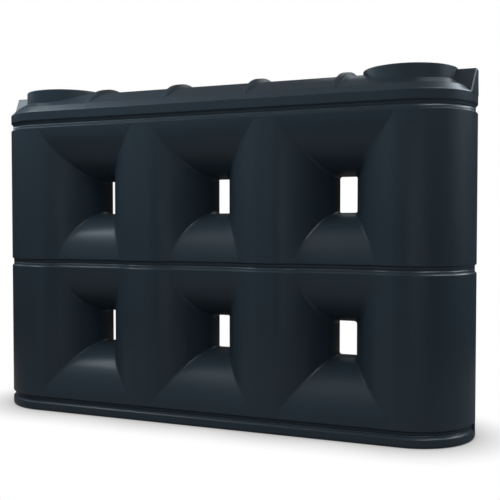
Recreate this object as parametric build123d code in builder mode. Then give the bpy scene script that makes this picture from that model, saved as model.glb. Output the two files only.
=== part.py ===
from build123d import *
import os

# Slimline water tank, moulded in polyethylene, in millimetres.
# Origin on the floor under the middle of the tank, X along its length, front face towards -Y.

# Plan of the tank: a long body with full half-round ends
length = 3050.0
width = 700.0
wall = 8.0

# Heights of the beads, grooves, body and roof edge, from the floor up
bead_top = 46.0
base_groove_bottom = 61.0
base_groove_top = 74.0
lower_body_start = 91.0
lower_body_end = 918.0
mid_groove_bottom = 932.0
mid_groove_top = 962.0
upper_body_start = 976.0
upper_body_end = 1806.0
top_groove_bottom = 1820.0
top_groove_top = 1845.0
eave_start = 1861.0
eave_end = 1909.0
bead_corner = 14.0
base_groove_depth = 13.5
mid_groove_depth = 9.5
top_groove_depth = 12.0

# Windows through the tank: three columns in two tiers
column_pitch = 797.0
window_width = 126.0
lower_window_bottom = 423.0
lower_window_top = 628.0
upper_window_bottom = 1262.0
upper_window_top = 1472.0

# Curves of the walls that run in to each window: how much rounder than half the width the pillars
# are, and how far the beam between the two tiers stands back from the long faces
pillar_bulge = 12.5
mid_beam_setback = 48.0

# Roof: a steep slope off the eaves, a straight haunch and a round vault over the middle
eave_slope_width = 40.0
eave_slope_height = 40.0
haunch_width = 80.0
haunch_height = 47.0
vault_radius = 520.0

# Ribs over the roof
rib_to_collar = 85.0
rib_width = 92.0
rib_crown = 30.0
rib_height = 24.0
rib_tip_inset = 22.0
rib_tip_height = 4.0

# Inlet collars, and the lugs between them and the ends of the tank
collar_setback = 23.0
collar_outer_radius = 264.0
collar_wall = 8.0
collar_rise = 11.4
seat_clearance = 0.3
lug_top_half_width = 44.0
lug_foot_half_width = 121.0
lug_below_rim = 13.0
lug_proud = 3.0

# Pads across the base groove, as the angle that each takes up at the end of the tank
pad_angle = 6.5

half_width = width / 2
end_axis = length / 2 - half_width
window_half = window_width / 2
pillar_radius = half_width + pillar_bulge
pillar_axis = window_half + pillar_radius
mid_beam_radius = half_width - mid_beam_setback
haunch_foot = half_width - eave_slope_width
haunch_foot_height = eave_end + eave_slope_height
vault_foot = haunch_foot - haunch_width
vault_foot_height = haunch_foot_height + haunch_height
ridge_height = vault_foot_height - (vault_radius**2 - vault_foot**2) ** 0.5 + vault_radius
rib_reach = half_width - rib_tip_inset
collar_place = end_axis - collar_setback
collar_rim_height = ridge_height + collar_rise
outer_rib_place = collar_place - collar_outer_radius - rib_to_collar
rib_places = [outer_rib_place * share for share in (-1, -1 / 3, 1 / 3, 1)]
lug_top_height = collar_rim_height - lug_below_rim
faces = {"front": (-half_width, 0.0), "back": (0.0, half_width)}

os.makedirs("parts", exist_ok=True)


def save(builder, name):
    """Name a finished piece and write its STEP file."""
    builder.part.label = name
    export_step(builder.part, f"parts/{name}.step")


def pillar_outline(axis, inset, height):
    """Plan of one drum-shaped pillar between two columns of windows, drawn in by inset."""
    reach = pillar_radius - inset
    shift = pillar_axis - column_pitch / 2
    with BuildSketch(Plane.XY.offset(height)) as drum:
        with Locations((axis + shift, 0)):
            Circle(reach)
        with Locations((axis - shift, 0)):
            Circle(reach, mode=Mode.INTERSECT)
        with Locations((axis, 0)):
            Rectangle(2 * reach, width - 2 * inset, mode=Mode.INTERSECT)
    return drum.sketch


def end_outline(side, inset, height):
    """Plan of the pillar at one end, with its half-round outer wall, drawn in by inset."""
    with BuildSketch(Plane.XY.offset(height)) as drum:
        with Locations((side * (column_pitch + pillar_axis), 0)):
            Circle(pillar_radius - inset)
        SlotCenterToCenter(2 * end_axis, width - 2 * inset, mode=Mode.INTERSECT)
    return drum.sketch


def pillars(levels):
    """Raise all four pillars inside the open builder through levels of height and inset."""
    for (start, low_inset), (end, high_inset) in zip(levels, levels[1:]):
        for outline, place in (
            (end_outline, -1),
            (pillar_outline, -column_pitch / 2),
            (pillar_outline, column_pitch / 2),
            (end_outline, 1),
        ):
            if low_inset == high_inset:
                extrude(outline(place, low_inset, start), amount=end - start)
            else:
                loft([outline(place, low_inset, start), outline(place, high_inset, end)], ruled=True)


def beam(radius, low_axis, high_axis, inset):
    """Extrude one rounded beam that runs the whole length over or under the windows."""
    with BuildSketch(Plane.YZ.offset(-end_axis)) as section:
        with Locations((0, low_axis), (0, high_axis)):
            Circle(radius - inset)
        if high_axis > low_axis:
            with Locations((0, (low_axis + high_axis) / 2)):
                Rectangle(2 * (radius - inset), high_axis - low_axis)
    extrude(section.sketch, amount=2 * end_axis)


def body(inset):
    """The tank between floor and eaves as one solid, drawn in by inset."""
    with BuildPart() as solid:
        pillars([(lower_body_start, inset), (upper_body_end, inset)])
        beam(half_width, lower_window_bottom - half_width, lower_window_bottom - half_width, inset)
        beam(mid_beam_radius, lower_window_top + mid_beam_radius, upper_window_bottom - mid_beam_radius, inset)
        beam(half_width, upper_window_top + half_width, upper_window_top + half_width, inset)
    return solid.part


outer_body = body(0.0)
inner_body = body(wall)
with BuildPart() as body_shell:
    add(outer_body)
    add(inner_body, mode=Mode.SUBTRACT)


def write_part_of(shell, spans, name):
    """Write the part of a shell that lies in one or more blocks, given by low and high corners."""
    with BuildPart() as blocks:
        for low, high in spans:
            with Locations(tuple((a + b) / 2 for a, b in zip(low, high))):
                Box(*[b - a for a, b in zip(low, high)])
    with BuildPart() as piece:
        add(shell)
        add(blocks.part, mode=Mode.INTERSECT)
    save(piece, name)


# Window panels: a front and a back funnel for each window, which meet in its neck
bay_edge = column_pitch / 2
tiers = {"lower": (lower_body_start, lower_body_end), "upper": (upper_body_start, upper_body_end)}
for face, (y_low, y_high) in faces.items():
    for tier, (z_low, z_high) in tiers.items():
        left_bay = ((-end_axis, y_low, z_low), (-bay_edge, y_high, z_high))
        right_bay = ((bay_edge, y_low, z_low), (end_axis, y_high, z_high))
        write_part_of(body_shell.part, [left_bay, right_bay], f"{face}_{tier}_outer_panels")
    middle_bays = [((-bay_edge, y_low, z_low), (bay_edge, y_high, z_high)) for z_low, z_high in tiers.values()]
    write_part_of(body_shell.part, middle_bays, f"{face}_middle_panels")


def wall_section(points, place, side=1):
    """Section through the wall at a place along X, from points of inset and height."""
    with BuildSketch(Plane.YZ.offset(place)) as section:
        with BuildLine():
            Polyline([(side * (half_width - inset), height) for inset, height in points], close=True)
        make_face()
    return section.sketch


def write_ends(points, name):
    """Write both half-round ends of the wall that has the given section."""
    with BuildPart() as ends:
        for sign in (-1, 1):
            turn = Axis((sign * end_axis, 0, 0), (0, 0, -sign))
            revolve(wall_section(points, sign * end_axis), axis=turn, revolution_arc=180)
    save(ends, name)


def write_sides(points, name):
    """Write both straight long sides of the wall that has the given section."""
    with BuildPart() as sides:
        for side in (-1, 1):
            extrude(wall_section(points, -end_axis, side), amount=2 * end_axis, dir=(1, 0, 0))
    save(sides, name)


# Half-round end walls, from the base rim to the eave rim, with the middle groove run round them
groove_levels = [
    (lower_body_end, 0.0),
    (mid_groove_bottom, mid_groove_depth),
    (mid_groove_top, mid_groove_depth),
    (upper_body_start, 0.0),
]
end_levels = [(lower_body_start, 0.0)] + groove_levels + [(upper_body_end, 0.0)]
write_ends(
    [(drawn_in, height) for height, drawn_in in end_levels]
    + [(drawn_in + wall, height) for height, drawn_in in reversed(end_levels)],
    "end_walls",
)

# Base rim: the bead that stands on the floor and the groove above it
base_inset = base_groove_depth + wall
base_section = [
    (bead_corner, 0.0),
    (0.0, bead_corner),
    (0.0, bead_top),
    (base_groove_depth, base_groove_bottom),
    (base_groove_depth, base_groove_top),
    (0.0, lower_body_start),
    (base_inset, lower_body_start),
    (base_inset, 0.0),
]
write_ends(base_section, "base_rim_ends")
write_sides(base_section, "base_rim_sides")

# Floor of the tank, inside the base rim
with BuildPart() as floor_pan:
    with BuildSketch():
        SlotCenterToCenter(2 * end_axis, width - 2 * base_inset)
    extrude(amount=wall)
save(floor_pan, "floor_pan")


# Groove round the middle of the tank, along its long faces
def mid_solid(inset):
    """The tank at its middle groove, drawn in by inset, as one solid."""
    levels = [(height, inset + drawn_in) for height, drawn_in in groove_levels]
    with BuildPart() as solid:
        pillars(levels)
        with BuildSketch(Plane.YZ.offset(-end_axis)) as strip:
            with BuildLine():
                Polyline(
                    [(mid_beam_radius - drawn_in, height) for height, drawn_in in levels]
                    + [(drawn_in - mid_beam_radius, height) for height, drawn_in in reversed(levels)],
                    close=True,
                )
            make_face()
        extrude(strip.sketch, amount=2 * end_axis)
    return solid.part


with BuildPart() as groove_shell:
    add(mid_solid(0.0))
    add(mid_solid(wall), mode=Mode.SUBTRACT)
for face, (y_low, y_high) in faces.items():
    span = ((-end_axis, y_low, lower_body_end), (end_axis, y_high, upper_body_start))
    write_part_of(groove_shell.part, [span], f"{face}_middle_groove")

# Eave rim: the groove under the roof and the upright band above it
eave_inset = top_groove_depth + wall
eave_section = [
    (0.0, upper_body_end),
    (top_groove_depth, top_groove_bottom),
    (top_groove_depth, top_groove_top),
    (0.0, eave_start),
    (0.0, eave_end),
    (eave_inset, eave_end),
    (eave_inset, upper_body_end),
]
write_ends(eave_section, "eave_rim_ends")
write_sides(eave_section, "eave_rim_sides")


def roof_section(plane, inset, reach):
    """Section of the roof above the eave rim, drawn in by inset, from -reach to half the width."""
    with BuildSketch(plane) as section:
        with BuildLine() as border:
            Polyline(
                (-vault_foot, vault_foot_height),
                (-haunch_foot, haunch_foot_height),
                (-half_width, eave_end),
                (-half_width, eave_start),
                (half_width, eave_start),
                (half_width, eave_end),
                (haunch_foot, haunch_foot_height),
                (vault_foot, vault_foot_height),
            )
            ThreePointArc((-vault_foot, vault_foot_height), (0, ridge_height), (vault_foot, vault_foot_height))
        make_face(border.line)
        if inset:
            offset(amount=-inset, kind=Kind.INTERSECTION, mode=Mode.REPLACE)
        with Locations(((half_width - reach) / 2, (eave_end + ridge_height) / 2)):
            Rectangle(half_width + reach, ridge_height - eave_end, mode=Mode.INTERSECT)
    return section.sketch


def roof_solid(inset):
    """The whole roof as one solid standing on the eave rim, drawn in by inset."""
    with BuildPart() as solid:
        extrude(roof_section(Plane.YZ.offset(-end_axis), inset, half_width), amount=2 * end_axis)
        for axis in (-end_axis, end_axis):
            revolve(roof_section(Plane.YZ.offset(axis), inset, 0.0), axis=Axis((axis, 0, 0), (0, 0, 1)))
    return solid.part


def collar_holes():
    """Cut the seats of both collars out of the open builder, from the eaves up."""
    with BuildSketch(Plane.XY.offset(eave_end)) as seats:
        with Locations((-collar_place, 0), (collar_place, 0)):
            Circle(collar_outer_radius + seat_clearance)
    extrude(seats.sketch, amount=length, mode=Mode.SUBTRACT)


# Roof shell in two halves
outer_roof = roof_solid(0.0)
inner_roof = roof_solid(wall)
with BuildPart() as roof_shell:
    add(outer_roof)
    add(inner_roof, mode=Mode.SUBTRACT)
    collar_holes()
for name, x_low, x_high in (("left_roof", -length, 0.0), ("right_roof", 0.0, length)):
    write_part_of(roof_shell.part, [((x_low, -half_width, eave_end), (x_high, half_width, length))], name)

# Inlet collars, open at the top and into the tank
with BuildPart() as collars:
    with BuildSketch(Plane.XY.offset(eave_end)):
        with Locations((-collar_place, 0), (collar_place, 0)):
            Circle(collar_outer_radius)
            Circle(collar_outer_radius - collar_wall, mode=Mode.SUBTRACT)
    extrude(amount=collar_rim_height - eave_end)
    add(inner_roof, mode=Mode.SUBTRACT)
save(collars, "inlet_collars")

# Ribs across the roof: humps on one bend, which run down almost to the eaves and grow thin there
rib_tip = eave_end + rib_tip_inset * eave_slope_height / eave_slope_width + rib_tip_height
rib_drop = ridge_height + rib_height - rib_tip
rib_bend = (rib_reach**2 + rib_drop**2) / (2 * rib_drop)
rib_axis_height = ridge_height + rib_height - rib_bend
with BuildPart() as ribs:
    for place in rib_places:
        with BuildSketch(Plane.XZ):
            with BuildLine():
                Polyline(
                    (place - rib_width / 2, ridge_height),
                    (place - rib_crown / 2, ridge_height + rib_height),
                    (place + rib_crown / 2, ridge_height + rib_height),
                    (place + rib_width / 2, ridge_height),
                    (place + rib_width / 2, eave_end),
                    (place - rib_width / 2, eave_end),
                    close=True,
                )
            make_face()
        revolve(axis=Axis((0, 0, rib_axis_height), (1, 0, 0)))
    add(outer_roof, mode=Mode.SUBTRACT)
    with Locations((0, 0, eave_end + length / 2)):
        Box(length, 2 * rib_reach, length, mode=Mode.INTERSECT)
    collar_holes()
save(ribs, "roof_ribs")

# Lugs between each collar and the end of the tank
with BuildPart() as lugs:
    with BuildSketch(Plane.YZ.offset(-length / 2)):
        with BuildLine():
            Polyline(
                (-lug_foot_half_width, eave_end),
                (-lug_top_half_width, lug_top_height),
                (lug_top_half_width, lug_top_height),
                (lug_foot_half_width, eave_end),
                close=True,
            )
        make_face()
    extrude(amount=length)
    with BuildSketch(Plane.XY.offset(eave_end)):
        SlotCenterToCenter(2 * end_axis, width + 2 * lug_proud)
        Rectangle(2 * collar_place, width, mode=Mode.SUBTRACT)
    extrude(amount=length, mode=Mode.INTERSECT)
    add(outer_roof, mode=Mode.SUBTRACT)
    collar_holes()
save(lugs, "end_lugs")

# Pads that bridge the base groove at the middle of each end
with BuildPart() as pads:
    for sign in (-1, 1):
        with BuildSketch(Plane.XZ):
            with BuildLine():
                Polyline(
                    (sign * length / 2, bead_top),
                    (sign * (length / 2 - base_groove_depth), base_groove_bottom),
                    (sign * (length / 2 - base_groove_depth), base_groove_top),
                    (sign * length / 2, lower_body_start),
                    close=True,
                )
            make_face()
        revolve(axis=Axis((sign * end_axis, 0, 0), (0, 0, 1)), revolution_arc=pad_angle / 2)
    mirror(about=Plane.XZ)
save(pads, "base_pads")
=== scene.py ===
import math

import bmesh
import bpy
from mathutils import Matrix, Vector


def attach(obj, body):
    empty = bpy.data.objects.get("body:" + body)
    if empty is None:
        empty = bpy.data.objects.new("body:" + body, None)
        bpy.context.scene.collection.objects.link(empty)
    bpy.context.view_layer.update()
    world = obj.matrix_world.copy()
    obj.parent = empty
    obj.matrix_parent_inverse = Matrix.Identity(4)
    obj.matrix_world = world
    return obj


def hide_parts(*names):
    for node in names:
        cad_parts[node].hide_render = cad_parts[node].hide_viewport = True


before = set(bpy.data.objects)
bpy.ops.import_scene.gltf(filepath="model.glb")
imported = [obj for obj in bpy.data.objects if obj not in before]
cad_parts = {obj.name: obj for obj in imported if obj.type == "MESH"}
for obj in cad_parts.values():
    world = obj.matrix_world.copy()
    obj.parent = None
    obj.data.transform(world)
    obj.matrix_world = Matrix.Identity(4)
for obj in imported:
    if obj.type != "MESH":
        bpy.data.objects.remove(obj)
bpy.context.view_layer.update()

scene = bpy.context.scene

# Camera.
# It stands in front of the right half of the tank at chest height and looks a little to the left and down.
picture_width = 500
focal_pixels = 803.24
sensor_width = 36
camera_pan = math.radians(22.015)
camera_dip = math.radians(1.8944)
camera = bpy.data.objects.new("camera", bpy.data.cameras.new("camera"))
scene.collection.objects.link(camera)
camera.data.lens = sensor_width * focal_pixels / picture_width
camera.location = (2.0286, -4.5907, 1.1992)
gaze = Vector((
    -math.sin(camera_pan) * math.cos(camera_dip),
    math.cos(camera_pan) * math.cos(camera_dip),
    -math.sin(camera_dip),
))
camera.rotation_euler = gaze.to_track_quat("-Z", "Y").to_euler()
scene.camera = camera
scene.view_settings.view_transform = "Standard"


# Material of the tank.
# The whole tank is one rotational moulding in dark blue-grey polyethylene. The mould gives it a fine
# even grain and a soft sheen, and the wall pulls away from the mould in places, so the sheen varies.
class Flow:
    """What comes out of a node, so that sums of values can be written as plain maths."""

    def __init__(self, tree, socket):
        self.tree = tree
        self.socket = socket

    @classmethod
    def node(cls, tree, kind, output=0, settings=None, inputs=None):
        """Adds a node with its settings, which come first, and the values or links of its sockets."""
        made = tree.nodes.new(kind)
        for name, value in (settings or {}).items():
            setattr(made, name, value)
        for name, value in (inputs or {}).items():
            if isinstance(value, Flow):
                value.into(made.inputs[name])
            else:
                made.inputs[name].default_value = value
        return cls(tree, made.outputs[output])

    def into(self, target):
        """Links this to the input of another node."""
        self.tree.links.new(self.socket, target)

    def maths(self, operation, first, second):
        """A Math node on two values, of which at least one comes out of a node."""
        pair = {0: first, 1: second}
        return Flow.node(self.tree, "ShaderNodeMath", settings={"operation": operation}, inputs=pair)

    def __add__(self, other):
        return self.maths("ADD", self, other)

    def __radd__(self, other):
        return self.maths("ADD", other, self)

    def __sub__(self, other):
        return self.maths("SUBTRACT", self, other)

    def __rsub__(self, other):
        return self.maths("SUBTRACT", other, self)

    def __mul__(self, other):
        return self.maths("MULTIPLY", self, other)

    def __rmul__(self, other):
        return self.maths("MULTIPLY", other, self)


blue_grey = (0.0128, 0.0205, 0.0278)
darkest = 0.93
lightest = 1.07
mean_roughness = 0.32
cloud_roughness = 0.1
grain_roughness = 0.08

plastic = bpy.data.materials.new("moulded_polyethylene")
plastic.use_nodes = True
plastic_tree = plastic.node_tree
plastic_shader = plastic_tree.nodes["Principled BSDF"]
surface = Flow.node(plastic_tree, "ShaderNodeTexCoord", output="Object")
grain = Flow.node(
    plastic_tree,
    "ShaderNodeTexNoise",
    inputs={"Vector": surface, "Scale": 420.0, "Detail": 3.0, "Roughness": 0.6},
)
ripple = Flow.node(
    plastic_tree,
    "ShaderNodeTexNoise",
    inputs={"Vector": surface, "Scale": 9.0, "Detail": 2.0},
)
cloud = Flow.node(
    plastic_tree,
    "ShaderNodeTexNoise",
    inputs={"Vector": surface, "Scale": 2.2, "Detail": 4.0, "Roughness": 0.55},
)
shade = Flow.node(
    plastic_tree,
    "ShaderNodeMix",
    output="Result",
    settings={"data_type": "RGBA"},
    inputs={
        "Factor": cloud,
        "A": (*[part * darkest for part in blue_grey], 1),
        "B": (*[part * lightest for part in blue_grey], 1),
    },
)
shade.into(plastic_shader.inputs["Base Color"])
sheen = mean_roughness + (cloud - 0.5) * cloud_roughness + (grain - 0.5) * grain_roughness
sheen.into(plastic_shader.inputs["Roughness"])
fine_bump = Flow.node(
    plastic_tree,
    "ShaderNodeBump",
    inputs={"Height": grain, "Strength": 0.1, "Distance": 0.0004},
)
ripple_bump = Flow.node(
    plastic_tree,
    "ShaderNodeBump",
    inputs={"Height": ripple, "Strength": 0.08, "Distance": 0.003, "Normal": fine_bump},
)
ripple_bump.into(plastic_shader.inputs["Normal"])
plastic_shader.inputs["Specular IOR Level"].default_value = 0.42

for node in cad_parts.values():
    node.data.materials.clear()
    node.data.materials.append(plastic)


# Base band.
# The foot of the moulded shell: a rounded bead that stands on the floor, with the lower half of the base
# groove over it. It is one wall with what stands above, straight along the faces and half-round at the ends.
half_width = 350.0
end_axis = 1175.0
columns = (-797.0, 0.0, 797.0)
end_turns = [math.radians(4 * n) for n in range(46)]
wall_thickness = 8.0
arc_hold = 0.7
join_reach = 0.00003
crease_angle = math.radians(35)


def rounded(corners, steps=4):
    """A bent line through corners of (inset, height, radius), with each corner turned on its radius."""
    line = []
    for number, (inset, height, radius) in enumerate(corners):
        here = Vector((inset, height))
        if radius == 0:
            line.append((inset, height))
            continue
        back = (Vector(corners[number - 1][:2]) - here).normalized()
        ahead = (Vector(corners[number + 1][:2]) - here).normalized()
        half = math.acos(max(-1.0, min(1.0, back.dot(ahead)))) / 2
        middle = here + (back + ahead).normalized() * radius / math.sin(half)
        first = here + back * radius / math.tan(half) - middle
        line.append(tuple(middle + first + back * min(arc_hold, radius)))
        sweep = math.pi - 2 * half
        sign = 1 if back.x * ahead.y - back.y * ahead.x < 0 else -1
        for step in range(steps + 1):
            angle = sign * sweep * step / steps
            line.append((
                middle.x + first.x * math.cos(angle) - first.y * math.sin(angle),
                middle.y + first.x * math.sin(angle) + first.y * math.cos(angle),
            ))
        line.append(tuple(Vector(line[-1]) + ahead * min(arc_hold, radius)))
    return line


def add_grid(points, faces, rows, flip=False):
    """Adds a sheet of points, given row by row, and the faces between them where all four are there."""
    start = len(points)
    width = len(rows[0])
    points += [point or (0.0, 0.0, 0.0) for row in rows for point in row]
    for number in range(len(rows) - 1):
        for along in range(width - 1):
            corners = [(number, along), (number + 1, along), (number + 1, along + 1), (number, along + 1)]
            if all(rows[n][a] for n, a in corners):
                face = [start + n * width + a for n, a in corners]
                faces.append(face[::-1] if flip else face)


def band_row(bay, depth, inset, height):
    """One closed row of points round the tank at a height, drawn in by inset."""
    row = []
    for face, order in ((-1, 1), (1, -1)):
        for column in columns[::order]:
            for side in (-order, order):
                offsets = bay(side * column > 0)
                if side == -order:
                    offsets = offsets[::-1]
                row += [(column + side * o, face * (depth(o, height) - inset), height) for o in offsets]
        reach = half_width - inset
        for turn in end_turns:
            row.append((order * (end_axis + reach * math.sin(turn)), face * reach * math.cos(turn), height))
    return row + row[:1]


def add_band(points, faces, bay, depth, line):
    """Adds a band round the tank, drawn along an upright line of (inset, height).

    bay gives the offsets of its points across half a column, for the outer half if it is given True, and
    depth gives how far out the wall stands at an offset and a height.
    """
    rows = [band_row(bay, depth, *spot) for spot in line]
    add_grid(points, faces, [list(upright) for upright in zip(*rows)])


def plain_bay(outer):
    """Offsets across half a column of a plain face, to the round end or to the next column."""
    return [0.0, end_axis - columns[2]] if outer else [0.0, columns[2] / 2]


def plain_depth(offset, height):
    """A plain face stands out half the width of the tank everywhere."""
    return half_width


def piece_from(name, points, faces):
    """A smooth mesh object from points in millimetres and faces, with doubled points joined."""
    mesh = bpy.data.meshes.new(name)
    mesh.from_pydata([tuple(c / 1000 for c in point) for point in points], [], faces)
    work = bmesh.new()
    work.from_mesh(mesh)
    bmesh.ops.remove_doubles(work, verts=work.verts, dist=join_reach)
    bmesh.ops.delete(work, geom=[v for v in work.verts if not v.link_faces], context="VERTS")
    for face in work.faces:
        face.smooth = True
    work.to_mesh(mesh)
    work.free()
    mesh.set_sharp_from_angle(angle=crease_angle)
    piece = bpy.data.objects.new(name, mesh)
    scene.collection.objects.link(piece)
    return piece


def dress(piece, thickness):
    """Gives a new piece its wall, where its mesh is only the outer skin, and its material and body."""
    if thickness:
        wall = piece.modifiers.new("wall", "SOLIDIFY")
        wall.thickness = thickness / 1000
        wall.offset = -1
    piece.data.materials.append(plastic)
    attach(piece, "root")
    return piece


points, faces = [], []
bead = rounded([(21.5, 0, 0), (0, 0, 14), (0, 47, 8), (13, 58, 0), (13.5, 67.5, 0)])
add_band(points, faces, plain_bay, plain_depth, bead)
base_band = dress(piece_from("base_band", points, faces), wall_thickness)
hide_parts("base_rim_ends", "base_rim_sides")


# Lower wall.
# The shell between the base groove and the middle groove, in one with the rest. Drum-shaped pillars and
# rounded beams run in to three windows through the tank, and the creases between them are filled round.
window_half = 63.0
pillar_radius = 362.5
pillar_axis = window_half + pillar_radius
shoulder_radius = 200.0
shoulder_span = pillar_radius - shoulder_radius
shoulder_axis = pillar_axis - math.sqrt(shoulder_span**2 - (half_width - shoulder_radius) ** 2)
shoulder_turn = math.acos((pillar_axis - shoulder_axis) / shoulder_span)
shoulder_depth = pillar_radius * math.sin(shoulder_turn)
waist_inset = 7.5
waist_depth = 188
waist_spread = 75
middle_reach = 302.0
floor_crease = 11.0
ceiling_crease = 16.0
crease_run_out = 25
neck_radius = 24.0
neck_run = 150
valley_radius = 24.0
valley_run = 60
front_hold_outer = 9
front_hold_inner = 17
spread_margin = 5.0
out_of_reach = -1000.0


def spread(start, end, parts):
    """Even steps from start to end, with one more just inside each end to hold the curve beside it."""
    margin = min(spread_margin, abs(end - start) / 4) * (1 if end > start else -1)
    inner = [start + margin + (end - start - 2 * margin) * n / parts for n in range(parts + 1)]
    return [start] + inner + [end]


def pillar_offset(depth):
    """How far from the middle of a window the pillar beside it stands as deep as depth."""
    slimmer = waist_inset * math.exp(-(((depth - waist_depth) / waist_spread) ** 2))
    if depth <= shoulder_depth:
        return pillar_axis - math.sqrt(pillar_radius**2 - depth**2) + slimmer
    shoulder = math.sqrt(max(0.0, shoulder_radius**2 - (depth - half_width + shoulder_radius) ** 2))
    return shoulder_axis - shoulder + slimmer


def pillar_depth(offset):
    """How deep the pillar stands at that offset from the middle of a window."""
    if offset <= pillar_offset(0.0):
        return out_of_reach
    low, high = 0.0, half_width
    for _ in range(24):
        middle = (low + high) / 2
        if pillar_offset(middle) < offset:
            low = middle
        else:
            high = middle
    return high


def pillar_front(outer):
    """Offsets across the flat front of a pillar, to its middle or to the round end of the tank."""
    if outer:
        return [shoulder_axis + front_hold_outer, end_axis - columns[2]]
    return [shoulder_axis + front_hold_inner, columns[2] / 2]


class Tier:
    """One row of windows with the beams under and over it, between the lips of two grooves."""

    drum_steps = 21
    shoulder_steps = 6
    beam_parts = 3
    upright_parts = 5
    crease_turns = [math.radians(90 * n / 7) for n in range(1, 7)]
    no_beam = [None] * (beam_parts + 3 + len(crease_turns))

    def __init__(self, bottom, low, high, top, under, over):
        """Takes the heights of the tier and of its windows, and how far out the beams reach."""
        self.bottom = bottom
        self.low = low
        self.high = high
        self.top = top
        self.under = under
        self.over = over
        self.last_under = self.beam_depth(bottom)
        self.last_over = self.beam_depth(top)
        self.depths = [self.last_under, self.last_over]
        for step in range(self.drum_steps + 1):
            self.depths.append(pillar_radius * math.sin(shoulder_turn * step / self.drum_steps))
        for step in range(1, self.shoulder_steps + 1):
            turn = shoulder_turn + (math.pi / 2 - shoulder_turn) * step / self.shoulder_steps
            self.depths.append(half_width - shoulder_radius + shoulder_radius * math.sin(turn))
        self.depths.sort()

    def beam_depth(self, height):
        """How deep the beam stands at that height, under or over the window."""
        if self.low < height < self.high:
            return out_of_reach
        if height <= self.low:
            reach, axis = self.under, self.low - self.under
            beyond = height < axis
        else:
            reach, axis = self.over, self.high + self.over
            beyond = height > axis
        return reach if beyond else math.sqrt(max(0.0, reach**2 - (height - axis) ** 2))

    def depth(self, offset, height, least=0.0):
        """How deep the wall stands, with pillars and the middle beam run together where they meet."""
        pillar = pillar_depth(offset)
        beam = self.beam_depth(height)
        deep = max(pillar, beam, least)
        reach = self.under if height < (self.low + self.high) / 2 else self.over
        blend = valley_radius * max(0.0, min(1.0, 1 - (reach - deep) / valley_run))
        if reach == middle_reach and blend > abs(pillar - beam):
            deep += (blend - abs(pillar - beam)) ** 2 / (4 * blend)
        return min(deep, half_width)

    def crease_radius(self, depth, last, crease):
        """Radius of the crease between pillar and beam at a depth, which runs out at its last depth."""
        radius = crease + (neck_radius - crease) * max(0.0, 1 - depth / neck_run) ** 2
        return radius * max(0.0, min(1.0, (last - depth) / crease_run_out))

    def beam_line(self, depth, edge, radius, away):
        """The line along a beam's edge at one depth, then up (1) or down (-1) its crease to the pillar."""
        corner = pillar_offset(depth)
        rise = away * radius
        line = [(offset, edge) for offset in spread(0.0, corner - radius, self.beam_parts)]
        for turn in self.crease_turns:
            line.append((corner - radius + radius * math.sin(turn), edge + rise - rise * math.cos(turn)))
        return line

    def contour(self, depth):
        """The line round half a window at one depth, as (offset, height), or None where it has run out."""
        start, end = self.bottom, self.top
        before = after = self.no_beam
        if depth <= self.last_under:
            edge = self.low - self.under + math.sqrt(self.under**2 - depth**2)
            radius = self.crease_radius(depth, self.last_under, floor_crease)
            before = self.beam_line(depth, edge, radius, 1)
            start = edge + radius
        if depth <= self.last_over:
            edge = self.high + self.over - math.sqrt(self.over**2 - depth**2)
            radius = self.crease_radius(depth, self.last_over, ceiling_crease)
            after = self.beam_line(depth, edge, radius, -1)[::-1]
            end = edge - radius
        corner = pillar_offset(depth)
        return before + [(corner, height) for height in spread(start, end, self.upright_parts)] + after

    def bay(self, last, outer):
        """Offsets across half a column beside a groove, where the beam ends at its last depth."""
        beam = spread(0.0, pillar_offset(last), self.beam_parts)
        return beam + [pillar_offset(depth) for depth in self.depths if depth > last] + pillar_front(outer)


def add_lip(points, faces, tier, last, corners):
    """Adds the band of a tier beside a groove, with the same points across it as the tier has there."""

    def bay(outer):
        return tier.bay(last, outer)

    add_band(points, faces, bay, tier.depth, rounded(corners))


def add_tier(points, faces, tier):
    """Adds the windows, pillars and beams of one tier, and the round ends beside them."""
    upright = spread(tier.bottom, tier.top, tier.upright_parts)
    for face in (-1, 1):
        for column in columns:
            for side in (-1, 1):
                rows = []
                for depth in tier.depths:
                    rows.append([
                        spot and (column + side * spot[0], face * tier.depth(*spot, depth), spot[1])
                        for spot in tier.contour(depth)
                    ])
                for offset in pillar_front(side * column > 0):
                    strip = [(column + side * offset, face * half_width, height) for height in upright]
                    rows.append(tier.no_beam + strip + tier.no_beam)
                add_grid(points, faces, rows, flip=face * side > 0)
    for sign in (-1, 1):
        rows = []
        for turn in end_turns:
            x = sign * (end_axis + half_width * math.sin(turn))
            y = -sign * half_width * math.cos(turn)
            rows.append([(x, y, height) for height in upright])
        add_grid(points, faces, rows)


lower = Tier(bottom=102.0, low=423.0, high=628.0, top=906.0, under=half_width, over=middle_reach)
lower_foot = [(13.5, 67.5, 0), (13.5, 80, 2), (0, 92, 5), (0, lower.bottom, 0)]
lower_head = [(0, lower.top, 0), (0, 923, 3), (9.5, 932, 0), (9.5, 947, 0)]
points, faces = [], []
add_lip(points, faces, lower, lower.last_under, lower_foot)
add_tier(points, faces, lower)
add_lip(points, faces, lower, lower.last_over, lower_head)
lower_wall = dress(piece_from("lower_wall", points, faces), wall_thickness)
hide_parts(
    "front_lower_outer_panels",
    "back_lower_outer_panels",
    "front_middle_panels",
    "back_middle_panels",
    "front_middle_groove",
    "back_middle_groove",
    "end_walls",
)


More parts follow.
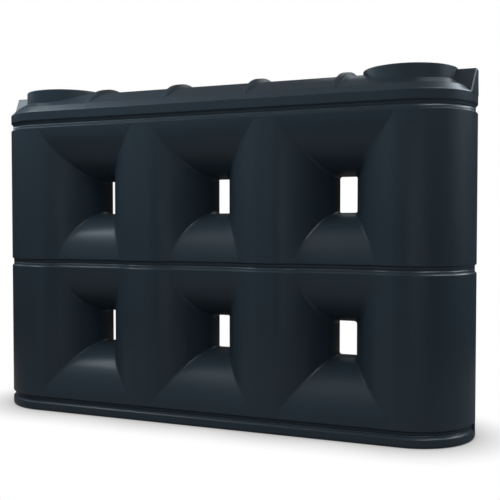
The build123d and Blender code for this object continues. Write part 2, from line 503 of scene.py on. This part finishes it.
# Upper wall.
# The shell between the middle groove and the groove under the eaves, in one with the rest, with three more
# windows. As in the lower wall, the beam beside the middle groove stands back from the pillars' fronts.
upper = Tier(bottom=988.0, low=1262.0, high=1472.0, top=1794.0, under=middle_reach, over=half_width)
upper_foot = [(9.5, 947, 0), (9.5, 966, 1.5), (0, 973, 3.5), (0, upper.bottom, 0)]
upper_head = [(0, upper.top, 0), (0, 1806, 3), (12, 1816, 0), (12, 1831, 0)]
points, faces = [], []
add_lip(points, faces, upper, upper.last_under, upper_foot)
add_tier(points, faces, upper)
add_lip(points, faces, upper, upper.last_over, upper_head)
upper_wall = dress(piece_from("upper_wall", points, faces), wall_thickness)
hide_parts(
    "front_upper_outer_panels",
    "back_upper_outer_panels",
    "front_middle_panels",
    "back_middle_panels",
    "front_middle_groove",
    "back_middle_groove",
    "end_walls",
)


# Roof.
# The same moulding goes on over the eave band: a steep slope, a straight haunch and a round vault, hipped
# round the ends. It runs up to the foot of a collar at each end.
ridge_height = 2049.6
collar_place = 1152.0
collar_radius = 264.0
vault_radius = 520.0
vault_axis = ridge_height - vault_radius
vault_start = 210.0
vault_foot = vault_axis + math.sqrt(vault_radius**2 - vault_start**2)
vault_steps = 12
slope_foot = 1905
hip_start = 840.0
vault_strips = 48
hip_strips = 12
hip_shares = (0.12, 0.25, 0.4, 0.55, 0.7, 0.82, 0.92, 1.0)
eave = rounded([(12, 1831, 0), (12, 1846, 1.5), (0, 1857, 4), (0, 1909, 7), (40, 1949, 30), (60, 1960.75, 0)])
haunch = rounded([(60, 1960.75, 0), (120, 1996, 160), (half_width - vault_start, vault_foot, 0)])[1:]
vault = []
for step in range(1, vault_steps + 1):
    angle = math.asin(vault_start / vault_radius) * (1 - step / vault_steps)
    vault.append((half_width - vault_radius * math.sin(angle), vault_axis + vault_radius * math.cos(angle)))
roof_line = eave + haunch + vault
roof_slope = [spot for spot in roof_line if spot[1] > slope_foot]


def roof_height(x, y):
    """Height of the roof over a point of the plan, inside the eaves."""
    inset = half_width - (abs(y) if abs(x) < end_axis else math.hypot(abs(x) - end_axis, y))
    for (low, start), (high, end) in zip(roof_slope, roof_slope[1:]):
        if inset <= high:
            return start + (end - start) * (inset - low) / (high - low)
    return roof_slope[-1][1]


points, faces = [], []
across = [(inset - half_width, height) for inset, height in roof_line]
across += [(-y, height) for y, height in across[-2::-1]]
vault_rows = []
for strip in range(vault_strips + 1):
    x = hip_start * (strip / (vault_strips // 2) - 1)
    vault_rows.append([(x, y, height) for y, height in across])
add_grid(points, faces, vault_rows)
for sign in (-1, 1):
    straight = [hip_start + (end_axis - hip_start) * n / hip_strips for n in range(hip_strips + 1)]
    rim = [(x, -1, 0.0) for x in straight[:-1]]
    rim += [(end_axis, -math.cos(turn), math.sin(turn)) for turn in end_turns]
    rim += [(x, 1, 0.0) for x in straight[-2::-1]]
    reaches = [(half_width - inset, height) for inset, height in eave]
    skirt = []
    for x, side, out in rim:
        skirt.append([(sign * (x + reach * out), side * reach, height) for reach, height in reaches])
    add_grid(points, faces, skirt, flip=sign < 0)
    loop = [row[-1] for row in skirt]
    loop += [(sign * hip_start, -y, height) for y, height in across[len(eave):-len(eave)]]
    loop.append(loop[0])
    rays = []
    for x, y, height in loop:
        angle = math.atan2(y, x - sign * collar_place)
        foot = Vector((
            sign * collar_place + collar_radius * math.cos(angle),
            collar_radius * math.sin(angle),
        ))
        ray = [(x, y, height)]
        for share in hip_shares:
            spot = Vector((x, y)).lerp(foot, share)
            ray.append((spot.x, spot.y, roof_height(spot.x, spot.y)))
        rays.append(ray)
    add_grid(points, faces, rays, flip=sign < 0)
roof = dress(piece_from("roof", points, faces), wall_thickness)
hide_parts("left_roof", "right_roof", "eave_rim_ends", "eave_rim_sides")


# Ribs.
# Four humps moulded in to the roof stiffen it. Each is widest and highest over the ridge and runs down to
# a thin rounded tip just above the eaves on both sides.
rib_places = (-803.0, -267.7, 267.7, 803.0)
rib_reach = 328.0
rib_height = 23.7
rib_tip_height = 1935
rib_drop = ridge_height + rib_height - rib_tip_height
rib_bend = (rib_reach**2 + rib_drop**2) / (2 * rib_drop)
rib_steps = 64
rib_thickness = 5.0
rib_tip_half = 15
rib_swell = 31
rib_tip_power = 10
rib_tip_least = 0.1
rib_root_width = 1.12
rib_root_depth = -5.0
rib_profile = (
    (1.0, 0.0), (0.96, 0.03), (0.9, 0.12), (0.82, 0.28), (0.74, 0.46), (0.66, 0.64), (0.6, 0.77),
    (0.55, 0.86), (0.5, 0.93), (0.45, 0.97), (0.38, 0.99), (0.25, 1.0), (0.0, 1.0),
)
for number, rib_place in enumerate(rib_places, start=1):
    rows = []
    for step in range(rib_steps + 1):
        y = rib_reach * math.sin(math.pi * (step / rib_steps - 0.5))
        crown = ridge_height + rib_height - rib_bend + math.sqrt(rib_bend**2 - y**2)
        tip = math.sqrt(max(0.0, 1 - (abs(y) / rib_reach) ** rib_tip_power))
        rise = max(0.0, crown - roof_height(rib_place, y)) * tip
        half = (rib_tip_half + rib_swell * rise / rib_height) * max(rib_tip_least, tip)
        row = [(-rib_root_width * half, rib_root_depth)]
        row += [(-width * half, rise * share) for width, share in rib_profile]
        row += [(-x, lift) for x, lift in row[-2::-1]]
        rows.append([(rib_place + x, y, roof_height(rib_place + x, y) + lift) for x, lift in row])
    points, faces = [], []
    add_grid(points, faces, rows, flip=True)
    rib = dress(piece_from(f"rib_{number}", points, faces), rib_thickness)
    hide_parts("roof_ribs")


# Collars.
# Two open round inlets, moulded in one with the roof, with plain walls and rounded rims. Their feet follow
# the roof and sink 12 mm into it. Each is drawn as a closed ring, with its own inside.
collar_bore = 256
collar_rim = 2057
rim_round = 4
collar_root = -12
root_hold = -6
rim_turns = [math.radians(22.5 * n) for n in range(9)]
ring_turns = [math.radians(3.75 * n) for n in range(97)]
collar_section = [(collar_bore, collar_root), (collar_bore, root_hold), (collar_bore, collar_rim - 1)]
for turn in rim_turns:
    radius = collar_bore + rim_round - rim_round * math.cos(turn)
    collar_section.append((radius, collar_rim + rim_round * math.sin(turn)))
collar_section += [(collar_radius, collar_rim - 1), (collar_radius, root_hold), (collar_radius, collar_root)]
collar_section.append(collar_section[0])
for name, sign in (("left_collar", -1), ("right_collar", 1)):
    rows = []
    for turn in ring_turns:
        row = []
        for radius, height in collar_section:
            x = sign * collar_place + radius * math.cos(turn)
            y = radius * math.sin(turn)
            row.append((x, y, height if height > 0 else roof_height(x, y) + height))
        rows.append(row)
    points, faces = [], []
    add_grid(points, faces, rows, flip=True)
    collar = dress(piece_from(name, points, faces), 0)
    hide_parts("inlet_collars")


# Lugs.
# A lifting lug fills the space between each collar and the end of the tank, wider at its foot, with
# rounded edges and its end face flush with the end of the tank. It is moulded in one with the roof.
lug_top = 2048.0
lug_foot = 1902.0
lug_shelf = 1909
lug_top_half = 44
lug_shelf_half = 121
lug_start = 1400.0
lug_end = 1525.0
lug_bend = 352.5
lug_strips = 3
for name, sign in (("left_lug", -1), ("right_lug", 1)):
    inner, outer = [], []
    for height in (lug_foot, lug_top):
        flare = (lug_top_half - lug_shelf_half) * (height - lug_shelf) / (lug_top - lug_shelf)
        half = lug_shelf_half + flare
        spots = [half * n / lug_strips for n in range(-lug_strips, lug_strips + 1)]
        inner.append([(sign * lug_start, y, height) for y in spots])
        bends = [min(lug_end, end_axis + math.sqrt(lug_bend**2 - y**2)) for y in spots]
        outer.append([(sign * x, y, height) for x, y in zip(bends, spots)])
    points, faces = [], []
    add_grid(points, faces, outer, flip=sign > 0)
    add_grid(points, faces, inner, flip=sign < 0)
    add_grid(points, faces, [inner[1], outer[1]], flip=sign < 0)
    add_grid(points, faces, [outer[0], inner[0]], flip=sign < 0)
    for side in (0, -1):
        flank = [[row[side] for row in inner], [row[side] for row in outer]]
        add_grid(points, faces, flank, flip=(side == 0) == (sign < 0))
    lug = piece_from(name, points, faces)
    soften = lug.modifiers.new("soften", "BEVEL")
    soften.width = 0.008
    soften.segments = 4
    soften.harden_normals = True
    soften.limit_method = "ANGLE"
    soften.angle_limit = math.radians(30)
    dress(lug, 0)
    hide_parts("end_lugs")


# Floor.
# A plain pale sheet under the tank. The camera sees it white, with a painted contact shadow that darkens it
# close to the tank, and it fades out into the backdrop. To the tank itself it is a dark matt sheet, so it
# lights and mirrors little.
floor_reach = 9
floor_drop = -0.0005
painted_shadow_reach = 0.32
fade_start = 2.6
fade_end = 4.2
floor_tone = 0.05
floor_mirror_tone = 0.08
floor_mesh = bpy.data.meshes.new("floor")
floor_plan = [(x * floor_reach, y * floor_reach) for x, y in ((-1, -1), (1, -1), (1, 1), (-1, 1))]
floor_mesh.from_pydata([(x, y, floor_drop) for x, y in floor_plan], [], [(0, 1, 2, 3)])
floor = bpy.data.objects.new("floor", floor_mesh)
scene.collection.objects.link(floor)

pale = bpy.data.materials.new("pale_floor")
pale.use_nodes = True
pale_tree = pale.node_tree
pale_tree.nodes.remove(pale_tree.nodes["Principled BSDF"])
floor_seen = Flow.node(pale_tree, "ShaderNodeLightPath", output="Is Camera Ray")
floor_mirrored = Flow.node(pale_tree, "ShaderNodeLightPath", output="Is Glossy Ray")
tone = floor_mirrored * floor_mirror_tone + floor_tone
grey = Flow.node(pale_tree, "ShaderNodeCombineColor", inputs={"Red": tone, "Green": tone, "Blue": tone})
matt = Flow.node(pale_tree, "ShaderNodeBsdfDiffuse", inputs={"Color": grey})
# Painted contact shadow: ambient occlusion darkens the white the camera sees near the tank; no lamp casts it.
painted_contact_shadow = Flow.node(
    pale_tree,
    "ShaderNodeAmbientOcclusion",
    output="Color",
    settings={"samples": 24},
    inputs={"Distance": painted_shadow_reach},
)
white_with_painted_shadow = Flow.node(pale_tree, "ShaderNodeEmission", inputs={"Color": painted_contact_shadow})
sheet = Flow.node(pale_tree, "ShaderNodeMixShader", inputs={"Fac": floor_seen, 1: matt, 2: white_with_painted_shadow})
floor_spot = Flow.node(pale_tree, "ShaderNodeTexCoord", output="Object")
away = Flow.node(
    pale_tree,
    "ShaderNodeVectorMath",
    output="Value",
    settings={"operation": "LENGTH"},
    inputs={0: floor_spot},
)
fade = Flow.node(
    pale_tree,
    "ShaderNodeMapRange",
    inputs={"Value": away, "From Min": fade_start, "From Max": fade_end},
)
clear = Flow.node(pale_tree, "ShaderNodeBsdfTransparent")
faded = Flow.node(pale_tree, "ShaderNodeMixShader", inputs={"Fac": fade, 1: sheet, 2: clear})
faded.into(pale_tree.nodes["Material Output"].inputs["Surface"])
floor_mesh.materials.append(pale)


# Backdrop.
# The camera sees plain white all round. To the tank it is a dim sky, brightest straight up, and only half
# as bright where the tank mirrors it, so that the sheen comes from the lamps.
horizon_light = 0.05
zenith_light = 0.3
horizon = 0.05
zenith = 0.9
mirror_loss = 0.5
studio = bpy.data.worlds.new("studio")
scene.world = studio
studio.use_nodes = True
studio_tree = studio.node_tree
sky = studio_tree.nodes["Background"]
sky.inputs["Color"].default_value = (1, 1, 1, 1)
sky_seen = Flow.node(studio_tree, "ShaderNodeLightPath", output="Is Camera Ray")
sky_mirrored = Flow.node(studio_tree, "ShaderNodeLightPath", output="Is Glossy Ray")
direction = Flow.node(studio_tree, "ShaderNodeTexCoord", output="Generated")
upwards = Flow.node(studio_tree, "ShaderNodeSeparateXYZ", output="Z", inputs={"Vector": direction})
sky_light = Flow.node(
    studio_tree,
    "ShaderNodeMapRange",
    inputs={
        "Value": upwards,
        "From Min": horizon,
        "From Max": zenith,
        "To Min": horizon_light,
        "To Max": zenith_light,
    },
)
dimmed = sky_light * (1.0 - sky_mirrored * mirror_loss)
(dimmed + sky_seen * (1.0 - dimmed)).into(sky.inputs["Strength"])


# Lamps.
# Five white lamps light the surface evenly: one overhead, three in front and one at the right. The others
# are slightly blue and show only in the sheen, where they give the light lines along lips, creases and ribs.
lamp_white = (1.0, 1.0, 1.0)
lamp_blue = (0.82, 0.93, 1.0)
for name, place, aim, size, power, only_sheen in (
    ("overhead", (-2.0, -1.7, 4.2), (-0.6, 0, 1.0), (5.0, 1.4), 262.0, False),
    ("front_right", (3.0, -5.2, 0.9), (0.2, 0, 1.0), (2.0, 1.6), 76.0, False),
    ("front", (2.0, -4.7, 1.2), (0.0, 0, 1.1), (1.0, 1.0), 36.0, False),
    ("front_left", (-2.8, -5.2, 0.9), (-0.2, 0, 1.0), (2.0, 1.6), 35.0, False),
    ("side", (5.0, 1.2, 2.2), (1.2, 0, 1.0), (2.0, 2.0), 190.0, False),
    ("top_left", (-3.6, -1.0, 4.8), (-3.6, -1.0, 0.0), (1.7, 1.8), 68.0, True),
    ("top_middle", (-0.6, -0.7, 5.0), (-0.6, -0.7, 0.0), (3.0, 1.0), 3.0, True),
    ("back_lamp", (1.2, 3.8, 4.8), (0.0, 0, 1.9), (4.2, 1.5), 16.0, True),
    ("right_long", (2.9, -0.2, 4.2), (0.6, -0.2, 1.1), (6.5, 0.9), 155.0, True),
    ("left_long", (-4.6, 1.2, 3.0), (-0.5, 1.2, 1.0), (4.0, 0.5), 12.0, True),
    ("right_strip", (4.2, 1.8, 3.7), (0.8, 0, 1.0), (3.0, 0.8), 75.0, True),
):
    lamp = bpy.data.lights.new(name, "AREA")
    lamp.shape = "RECTANGLE"
    lamp.size, lamp.size_y = size
    lamp.energy = power
    lamp.color = lamp_blue if only_sheen else lamp_white
    fitting = bpy.data.objects.new(name, lamp)
    scene.collection.objects.link(fitting)
    fitting.location = place
    fitting.rotation_euler = (Vector(aim) - Vector(place)).to_track_quat("-Z", "Y").to_euler()
    fitting.visible_glossy = only_sheen
    fitting.visible_diffuse = not only_sheen
